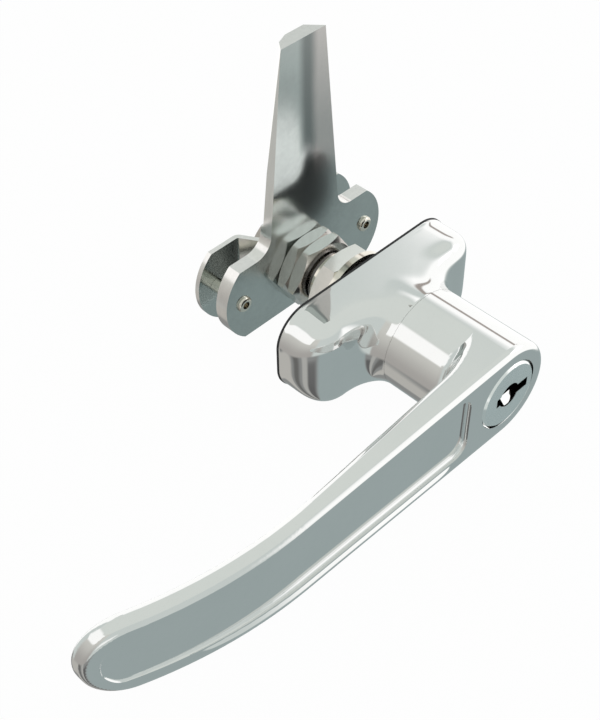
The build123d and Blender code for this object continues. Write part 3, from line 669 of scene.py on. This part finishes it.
def cast_skin(tree, collar_radius, collar_depth):
    """The casting's outside as a grid of places, from its back edge in row 0 to the collar."""
    outside, least_slope = 90.0 * MM, 0.0004
    centre = Vector((0.0, BACK_EDGE, 0.0))
    collar_slope = math.atan2(BACK_EDGE - collar_depth, collar_radius)
    last = SKIN_ROWS - 1
    skin = np.zeros((SKIN_ROWS, SKIN_TURNS, 3))
    for row in range(last):
        slope = max(collar_slope * row / last, least_slope)
        for turn in range(SKIN_TURNS):
            # Seen from the centre of the back, the place lies towards away, leaning forward by slope
            away = Vector(on_circle(math.cos(slope), -math.sin(slope), turn, SKIN_TURNS))
            skin[row, turn] = tree.ray_cast(centre + away * outside, -away)[0]
    skin[0, :, 1] = BACK_EDGE
    for turn in range(SKIN_TURNS):
        skin[last, turn] = on_circle(collar_radius, collar_depth, turn, SKIN_TURNS)
    return skin


def settle(skin, held_back, held_front, passes, near=None):
    """Relax the skin's grid so that its creases flow, and leave its first and last rows alone.

    With near given, only the part within that distance of the spindle's line, sideways, is relaxed.
    """
    blend_rows, strength, fade_share = 7, 0.5, 0.3
    rows = skin.shape[0]
    grip = np.ones(rows)
    grip[:held_back] = 0.0
    grip[rows - held_front:] = 0.0
    soft = np.convolve(grip, np.ones(blend_rows) / blend_rows, mode="same") * grip
    soft = soft.reshape(rows, 1, 1) * strength
    if near is not None:
        soft = soft * np.clip((near - np.abs(skin[:, :, 0:1])) / (fade_share * near), 0.0, 1.0)
    for _ in range(passes):
        around = (np.roll(skin, 1, axis=1) + np.roll(skin, -1, axis=1)) / 2.0
        along = skin.copy()
        along[1:-1] = (skin[:-2] + skin[2:]) / 2.0
        skin = skin + soft * ((around + along) / 2.0 - skin)
    return skin


def round_ring(shape, radius, depth):
    """A round ring of vertices."""
    return [shape.verts.new(on_circle(radius, depth, turn, SKIN_TURNS)) for turn in range(SKIN_TURNS)]


def bore_ring(shape, tree, middle, depth):
    """A ring round the bore, as wide as the casting's bore is at the depth called middle."""
    ring = []
    for turn in range(SKIN_TURNS):
        away = Vector(on_circle(1.0, 0.0, turn, SKIN_TURNS))
        wall = tree.ray_cast(Vector((0.0, middle, 0.0)), away)[0]
        radius = max(BORE_RADIUS, math.hypot(wall.x, wall.z))
        ring.append(shape.verts.new(on_circle(radius, depth, turn, SKIN_TURNS)))
    return ring


def make_bore(shape, tree, collar_depth):
    """The bore's rings from the collar inwards, with the bolt's notches and the stop pin's groove."""
    rings = [round_ring(shape, BORE_RADIUS, collar_depth)]
    for front, back in (BOLT_NOTCHES, STOP_GROOVE):
        middle = (front + back) / 2.0
        rings.append(round_ring(shape, BORE_RADIUS, front - STEP_ROUND))
        rings.append(bore_ring(shape, tree, middle, front))
        rings.append(bore_ring(shape, tree, middle, back))
        rings.append(round_ring(shape, BORE_RADIUS, back + STEP_ROUND))
    rings.append(round_ring(shape, BORE_RADIUS, BORE_END))
    return rings


def make_boss(shape, boss_end):
    """The boss's rings, along its outside to its end and back down its bore."""
    return [
        round_ring(shape, BOSS_RADIUS, BACK_EDGE),
        round_ring(shape, BOSS_RADIUS, boss_end - BOSS_CHAMFER),
        round_ring(shape, BOSS_RADIUS - BOSS_CHAMFER, boss_end),
        round_ring(shape, BOSS_BORE, boss_end),
        round_ring(shape, BOSS_BORE, BORE_END),
    ]


def make_escutcheon():
    """The casting as one flowing surface, from its back edge to the collar, with bore and boss."""
    low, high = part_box("escutcheon")
    tree = BVHTree.FromObject(
        frame["nodes"]["escutcheon"], bpy.context.evaluated_depsgraph_get()
    )
    collar_depth = low[1] - COLLAR_LIFT
    skin = cast_skin(tree, high[2], collar_depth)
    skin = settle(skin, held_back=3, held_front=2, passes=50)
    skin = settle(skin, held_back=8, held_front=2, passes=260, near=21.0 * MM)
    shape = bmesh.new()
    outside = [[shape.verts.new(place) for place in row] for row in skin]
    bore = make_bore(shape, tree, collar_depth)
    boss = make_boss(shape, high[1])
    bridge_rings(shape, outside + bore)
    bridge_rings(shape, [outside[0]] + boss + [bore[-1]])
    return link_piece(
        "escutcheon_skin", shape, polished_chrome, "mounting",
        replaced="escutcheon",
    )


# nuts


def make_nut(node, body, bore_radius, material):
    """A hexagon nut with its corners turned off on both faces, and a chamfered mouth."""
    low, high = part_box(node)
    front, back = low[1], high[1]
    half_flats = (high[2] - low[2]) / 2.0
    land = half_flats * NUT_LAND_SHARE
    mouth = bore_radius + NUT_MOUTH_CHAMFER
    turns, profile_points = 120, 8
    shape = bmesh.new()
    rings = [[] for _ in range(profile_points)]
    for turn in range(turns):
        off_flat = math.radians(360.0 * turn / turns % 60.0 - 30.0)
        corner = half_flats / math.cos(off_flat)
        drop = (corner - land) * math.tan(NUT_CORNER_ANGLE)
        profile = [
            (bore_radius, front + NUT_MOUTH_CHAMFER), (mouth, front), (land, front), (corner, front + drop),
            (corner, back - drop), (land, back), (mouth, back), (bore_radius, back - NUT_MOUTH_CHAMFER),
        ]
        for ring, (radius, depth) in zip(rings, profile):
            ring.append(shape.verts.new(on_circle(radius, depth, turn, turns)))
    bridge_rings(shape, rings + [rings[0]])
    return link_piece(
        node + "_dressed", shape, material, body, replaced=node, crease=22.0
    )


# lever's lower lip


def read_lower_lip(tree, stations):
    """For each station: the lower lip's lowest height, its height at the recess, and its depth."""
    lowest, step, samples, lip_samples = -22.0 * MM, 0.1 * MM, 420, 40
    flat_within, recess_behind, usual_samples = 0.06 * MM, 0.35 * MM, 30
    in_front, backward = -70.0 * MM, Vector((0.0, 1.0, 0.0))
    rows = []
    for across in stations:
        heights, depths = [], []
        for index in range(samples):
            height = lowest + index * step
            place = tree.ray_cast(Vector((across, in_front, height)), backward)[0]
            if place is not None:
                heights.append(height)
                depths.append(place.y)
        level = min(depths[:lip_samples])
        start = next(index for index, depth in enumerate(depths) if depth < level + flat_within)
        past = (index for index in range(start, len(depths)) if depths[index] > level + recess_behind)
        end = next(past, start + usual_samples)
        rows.append((heights[start], heights[end], level))
    return np.array(rows)


def running_mean(rows, reach=3):
    """Each column averaged over reach stations to either side."""
    count = 2 * reach + 1
    padded = np.pad(rows, ((reach, reach), (0, 0)), mode="edge")
    columns = [np.convolve(column, np.ones(count) / count, mode="valid") for column in padded.T]
    return np.stack(columns, axis=1)


def lip_section(across, low, high, level, bend, height):
    """One section of the lip: its places up over its round face and down its back, and its normals.

    The normals shade the lip as full as the cast one, which the thin bead alone can't.
    """
    points, sunk, crown = 13, 0.02 * MM, 0.01 * MM
    least_share, steepest = 0.02, -0.7
    back_shares, back_depth = (0.85, 0.15), 0.3 * MM
    width = high - low
    places, normals = [], []
    for point in range(points):
        share = point / (points - 1)
        phase = math.pi * share ** LIP_FULLEST_LOW
        depth = level + sunk - (height + crown) * math.sin(phase)
        places.append((across, depth, low + width * share))
        squeeze = LIP_FULLEST_LOW * max(share, least_share) ** (LIP_FULLEST_LOW - 1.0)
        steepness = math.pi * squeeze * math.cos(phase)
        rise = -LIP_SHADED_HEIGHT * height / LIP_HEIGHT * steepness / width
        normals.append(Vector((bend, -1.0, max(rise, steepest))).normalized())
    for share in back_shares:
        places.append((across, level + back_depth, low + width * share))
        normals.append(Vector((0.0, 1.0, 0.0)))
    return places, normals


def make_lever_lip():
    """The rolled lip along the lower edge of the lever's recess, full below and easy above."""
    # The lip rises from nothing over this many stations at its two ends
    tip_fade, hub_fade = 20.0, 8.0
    tree = BVHTree.FromObject(frame["nodes"]["handle"], bpy.context.evaluated_depsgraph_get())
    count = round((LIP_HUB_END - LIP_TIP_END) / LIP_STATION_STEP)
    stations = LIP_TIP_END + LIP_STATION_STEP * np.arange(count)
    read = read_lower_lip(tree, stations)
    lows, highs, smooth_levels = running_mean(read).T
    bends = np.gradient(smooth_levels, stations)
    shape = bmesh.new()
    rings, normals = [], []
    for index, (across, low, high, level, bend) in enumerate(
        zip(stations, lows, highs - LIP_GAP, read[:, 2], bends)
    ):
        fade = min(1.0, index / tip_fade, (count - 1 - index) / hub_fade)
        height = min(LIP_HEIGHT, level - LIP_FRONT_LIMIT) * fade * fade * (3.0 - 2.0 * fade)
        places, section_normals = lip_section(across, low, high, level, bend, height)
        rings.append([shape.verts.new(place) for place in places])
        normals.extend(section_normals)
    bridge_rings(shape, rings)
    shape.faces.new(rings[0])
    shape.faces.new(list(reversed(rings[-1])))
    piece = link_piece(
        "lever_lip", shape, polished_chrome, "handle_and_cam", crease=180.0
    )
    piece.data.normals_split_custom_set_from_vertices(normals)
    return piece


# key shutter


def make_key_shutter():
    """The spring shutter behind the key's entry: a wedge with a slope that faces up and out."""
    same_place = 1e-9
    top = SHUTTER_LOW + (SHUTTER_BACK - SHUTTER_FRONT)
    half_angle = math.acos(-top / ENTRY_RADIUS)
    steps = 28
    arc = []
    for step in range(steps + 1):
        angle = -math.pi / 2.0 - half_angle + 2.0 * half_angle * step / steps
        across = ENTRY_RADIUS * math.cos(angle)
        if across >= SHUTTER_LEFT:
            arc.append((across, max(ENTRY_RADIUS * math.sin(angle), SHUTTER_LOW)))
    arc.insert(0, (arc[0][0], top))

    # The slope runs from the low front edge to the high back edge, where it meets the rear
    shape = bmesh.new()
    slope, rear = [], []
    for across, up in arc:
        slope.append(shape.verts.new((across, SHUTTER_FRONT + (up - SHUTTER_LOW), up)))
    for corner, (across, up) in zip(slope, arc):
        on_slope = abs(up - top) < same_place
        rear.append(corner if on_slope else shape.verts.new((across, SHUTTER_BACK, up)))
    shape.faces.new(slope)
    shape.faces.new(list(reversed(rear)))
    for step in range(len(arc) - 1):
        corners = [slope[step], slope[step + 1], rear[step + 1], rear[step]]
        shape.faces.new([corner for index, corner in enumerate(corners) if corner not in corners[:index]])
    return link_piece(
        "key_shutter", shape, shutter_steel, "lock_cylinder", bevel=SHUTTER_ROUND
    )


make_escutcheon()
make_nut("panel_nut", "mounting", PANEL_NUT_BORE, brightened_nut_steel)
make_nut("jam_nut", "handle_and_cam", CAM_NUT_BORE, nut_steel)
make_nut("cam_nut", "handle_and_cam", CAM_NUT_BORE, nut_steel)
make_nut("rear_cam_nut", "handle_and_cam", REAR_NUT_BORE, nut_steel)
make_key_shutter()
make_lever_lip()


# floor


def make_floor_material():
    """Pale, white to the camera, and clear to mirror and shadow rays, so chrome shows the room."""
    white_to_camera = 0.97
    material, tree, shader = new_material("pale_floor")
    shader.inputs["Base Color"].default_value = (0.80, 0.81, 0.82, 1.0)
    shader.inputs["Roughness"].default_value = 0.9
    shader.inputs["Specular IOR Level"].default_value = 0.1
    glow = tree.nodes.new("ShaderNodeEmission")
    glow.inputs["Color"].default_value = (1.0, 1.0, 1.0, 1.0)
    glow.inputs["Strength"].default_value = 1.0
    clear = tree.nodes.new("ShaderNodeBsdfTransparent")
    path = tree.nodes.new("ShaderNodeLightPath").outputs
    seen = tree.nodes.new("ShaderNodeMixShader")
    tree.links.new(math_node(tree, "MULTIPLY", path["Is Camera Ray"], white_to_camera), seen.inputs[0])
    tree.links.new(shader.outputs[0], seen.inputs[1])
    tree.links.new(glow.outputs[0], seen.inputs[2])
    mirrored = either(tree, path["Is Glossy Ray"], path["Is Transmission Ray"])
    passing = either(tree, mirrored, path["Is Shadow Ray"])
    mix = tree.nodes.new("ShaderNodeMixShader")
    tree.links.new(passing, mix.inputs[0])
    tree.links.new(seen.outputs[0], mix.inputs[1])
    tree.links.new(clear.outputs[0], mix.inputs[2])
    tree.links.new(mix.outputs[0], tree.nodes["Material Output"].inputs["Surface"])
    return material


def make_floor():
    radius, gap = 3.0, 0.3 * MM
    shape = bmesh.new()
    bmesh.ops.create_circle(shape, cap_ends=True, segments=96, radius=radius)
    bmesh.ops.translate(shape, verts=shape.verts, vec=(0.0, 0.0, cad_box[0].z - gap))
    mesh = bpy.data.meshes.new("floor")
    shape.to_mesh(mesh)
    shape.free()
    mesh.materials.append(make_floor_material())
    floor = bpy.data.objects.new("floor", mesh)
    bpy.context.scene.collection.objects.link(floor)


# light, and the room that the chrome mirrors


def make_front_softbox():
    """A soft square lamp that faces the latch. Its power follows from how bright its face looks."""
    width, height, face_brightness = 0.5, 0.4, 1.2
    away = Vector((0.80, -0.45, 0.40)).normalized()
    distance, middle = 1.2, Vector((-0.02, -0.01, 0.0))
    light = bpy.data.lights.new("front_softbox", "AREA")
    light.shape = "RECTANGLE"
    light.size = width
    light.size_y = height
    light.energy = face_brightness * math.pi * width * height
    lamp = bpy.data.objects.new("front_softbox", light)
    lamp.location = middle + away * distance
    lamp.rotation_euler = away.to_track_quat("Z", "Y").to_euler()
    bpy.context.scene.collection.objects.link(lamp)


# In the room, a bearing runs from +X towards +Y and a height from level to straight up, in degrees


def paint_walls(tree, bearing, height):
    """Pale walls in front, beige ones at the back left that darken downwards, and the ceiling."""
    pale_wall = (0.63, 0.68, 0.66, 1.0)
    beige_wall, beige_low = (0.66, 0.66, 0.62, 1.0), (0.42, 0.405, 0.385, 1.0)
    ceiling = (0.715, 0.755, 0.72, 1.0)
    left_of, right_of = (128.0, 146.0), (-158.0, -146.0)
    low_to_high, ceiling_edge = (-28.0, 30.0), (38.0, 52.0)
    back_left = either(
        tree, soft_step(tree, bearing, *left_of), inverse(tree, soft_step(tree, bearing, *right_of))
    )
    low = inverse(tree, soft_step(tree, height, *low_to_high))
    beige = mix_colours(tree, low, beige_wall, beige_low)
    room = mix_colours(tree, back_left, pale_wall, beige)
    return mix_colours(tree, soft_step(tree, height, *ceiling_edge), room, ceiling)


def paint_ground(tree, bearing, height, room):
    """A grey-blue floor, darker behind, with strips that a rounded corner shows as streaks."""
    front_ground, back_ground = (0.345, 0.405, 0.405, 1.0), (0.27, 0.275, 0.27, 1.0)
    behind_left, behind_right = (40.0, 80.0), (-140.0, -124.0)
    shade_grey = (0.13, 0.13, 0.13, 1.0)
    shade_bearing, shade_height = (-172.0, -158.0, -144.0, -130.0), (-48.0, -40.0)
    strip_lean = 0.35
    near_strip, near_grey = (106.0, 120.0, 141.0, 150.0), (0.50, 0.49, 0.46, 1.0)
    pale_strip, pale_grey = (163.0, 170.0, 178.0, 187.0), (0.44, 0.44, 0.42, 1.0)
    dark_strip, dark_grey = (134.0, 144.0, 150.0, 162.0), (0.15, 0.15, 0.145, 1.0)
    ground_edge = (-37.0, -30.0)

    behind = either(
        tree, soft_step(tree, bearing, *behind_left),
        inverse(tree, soft_step(tree, bearing, *behind_right)),
    )
    ground = mix_colours(tree, behind, front_ground, back_ground)
    shade = both(
        tree, window(tree, bearing, *shade_bearing),
        inverse(tree, soft_step(tree, height, *shade_height)),
    )
    ground = mix_colours(tree, shade, ground, shade_grey)
    full_turn = math_node(tree, "MODULO", math_node(tree, "ADD", bearing, 360.0), 360.0)
    leaning = math_node(tree, "MULTIPLY_ADD", height, strip_lean, full_turn)
    ground = mix_colours(tree, window(tree, full_turn, *near_strip), ground, near_grey)
    ground = mix_colours(tree, window(tree, leaning, *pale_strip), ground, pale_grey)
    ground = mix_colours(tree, window(tree, leaning, *dark_strip), ground, dark_grey)
    return mix_colours(tree, inverse(tree, soft_step(tree, height, *ground_edge)), room, ground)


def paint_white_walls(tree, bearing, height, room):
    """The white wall at the front right and the one behind, a ledge, a sill and a picture rail."""
    white = (1.16, 1.16, 1.15, 1.0)
    front_left, front_right = (-84.0, -62.0), (37.0, 44.0)
    front_slant, front_height = -0.012, (-34.0, -28.0, 34.0, 46.0)
    back_bearing, back_height = (49.0, 56.0, 92.0, 101.0), (-48.0, -40.0, 40.0, 47.0)
    ledge_left, ledge_height = (118.0, 132.0), (17.0, 22.0, 43.0, 48.0)
    sill_bearing, sill_height = (-150.0, -142.0, -124.0, -118.0), (-16.0, -10.0, 0.0, 8.0)
    ledge_strength, sill_strength = 0.9, 0.75
    rail_height, rail_bearing = (21.0, 23.5, 26.0, 28.5), (12.0, 22.0, 42.0, 48.0)
    rail_brown = (0.40, 0.36, 0.335, 1.0)

    slanted = math_node(tree, "MULTIPLY_ADD", both(tree, height, height), front_slant, bearing)
    across = both(
        tree, soft_step(tree, slanted, *front_left),
        inverse(tree, soft_step(tree, bearing, *front_right)),
    )
    front = both(tree, across, window(tree, height, *front_height))
    back = both(tree, window(tree, bearing, *back_bearing), window(tree, height, *back_height))
    ledge = both(tree, soft_step(tree, bearing, *ledge_left), window(tree, height, *ledge_height))
    sill = both(tree, window(tree, bearing, *sill_bearing), window(tree, height, *sill_height))
    for patch, strength in (
        (front, 1.0), (back, 1.0), (ledge, ledge_strength), (sill, sill_strength),
    ):
        room = mix_colours(tree, math_node(tree, "MULTIPLY", patch, strength), room, white)
    rail = both(tree, window(tree, height, *rail_height), window(tree, bearing, *rail_bearing))
    return mix_colours(tree, rail, room, rail_brown)


def make_world():
    """A plain room, painted by bearing and height. The camera itself sees white."""
    world = bpy.data.worlds.new("studio")
    bpy.context.scene.world = world
    world.use_nodes = True
    tree = world.node_tree
    across, along, up = split(tree, tree.nodes.new("ShaderNodeTexCoord").outputs["Generated"])
    bearing = math_node(tree, "DEGREES", math_node(tree, "ARCTAN2", along, across))
    height = math_node(tree, "DEGREES", math_node(tree, "ARCSINE", up))
    room = paint_walls(tree, bearing, height)
    room = paint_ground(tree, bearing, height, room)
    room = paint_white_walls(tree, bearing, height, room)
    to_camera = tree.nodes.new("ShaderNodeLightPath").outputs["Is Camera Ray"]
    background = tree.nodes["Background"]
    tree.links.new(mix_colours(tree, to_camera, room, (1.0, 1.0, 1.0, 1.0)), background.inputs["Color"])
    background.inputs["Strength"].default_value = 1.0


# camera


def make_camera():
    """The photograph's view, with the small lean that the object has in it."""
    eye = Vector((-0.193903, -0.174130, 0.241844))
    target = Vector((-0.025797, -0.002502, -0.002268))
    lean = math.radians(-0.836)
    data = bpy.data.cameras.new("camera")
    data.lens = 67.32
    data.sensor_width = 36.0
    data.clip_start = 0.01
    data.clip_end = 20.0
    camera = bpy.data.objects.new("camera", data)
    bpy.context.scene.collection.objects.link(camera)
    aim = (target - eye).to_track_quat("-Z", "Y").to_matrix()
    roll = Matrix.Rotation(lean, 3, "Z")
    camera.matrix_world = Matrix.Translation(eye) @ (aim @ roll).to_4x4()
    bpy.context.scene.camera = camera


make_floor()
make_world()
make_front_softbox()
make_camera()

bpy.context.scene.view_settings.view_transform = "Standard"
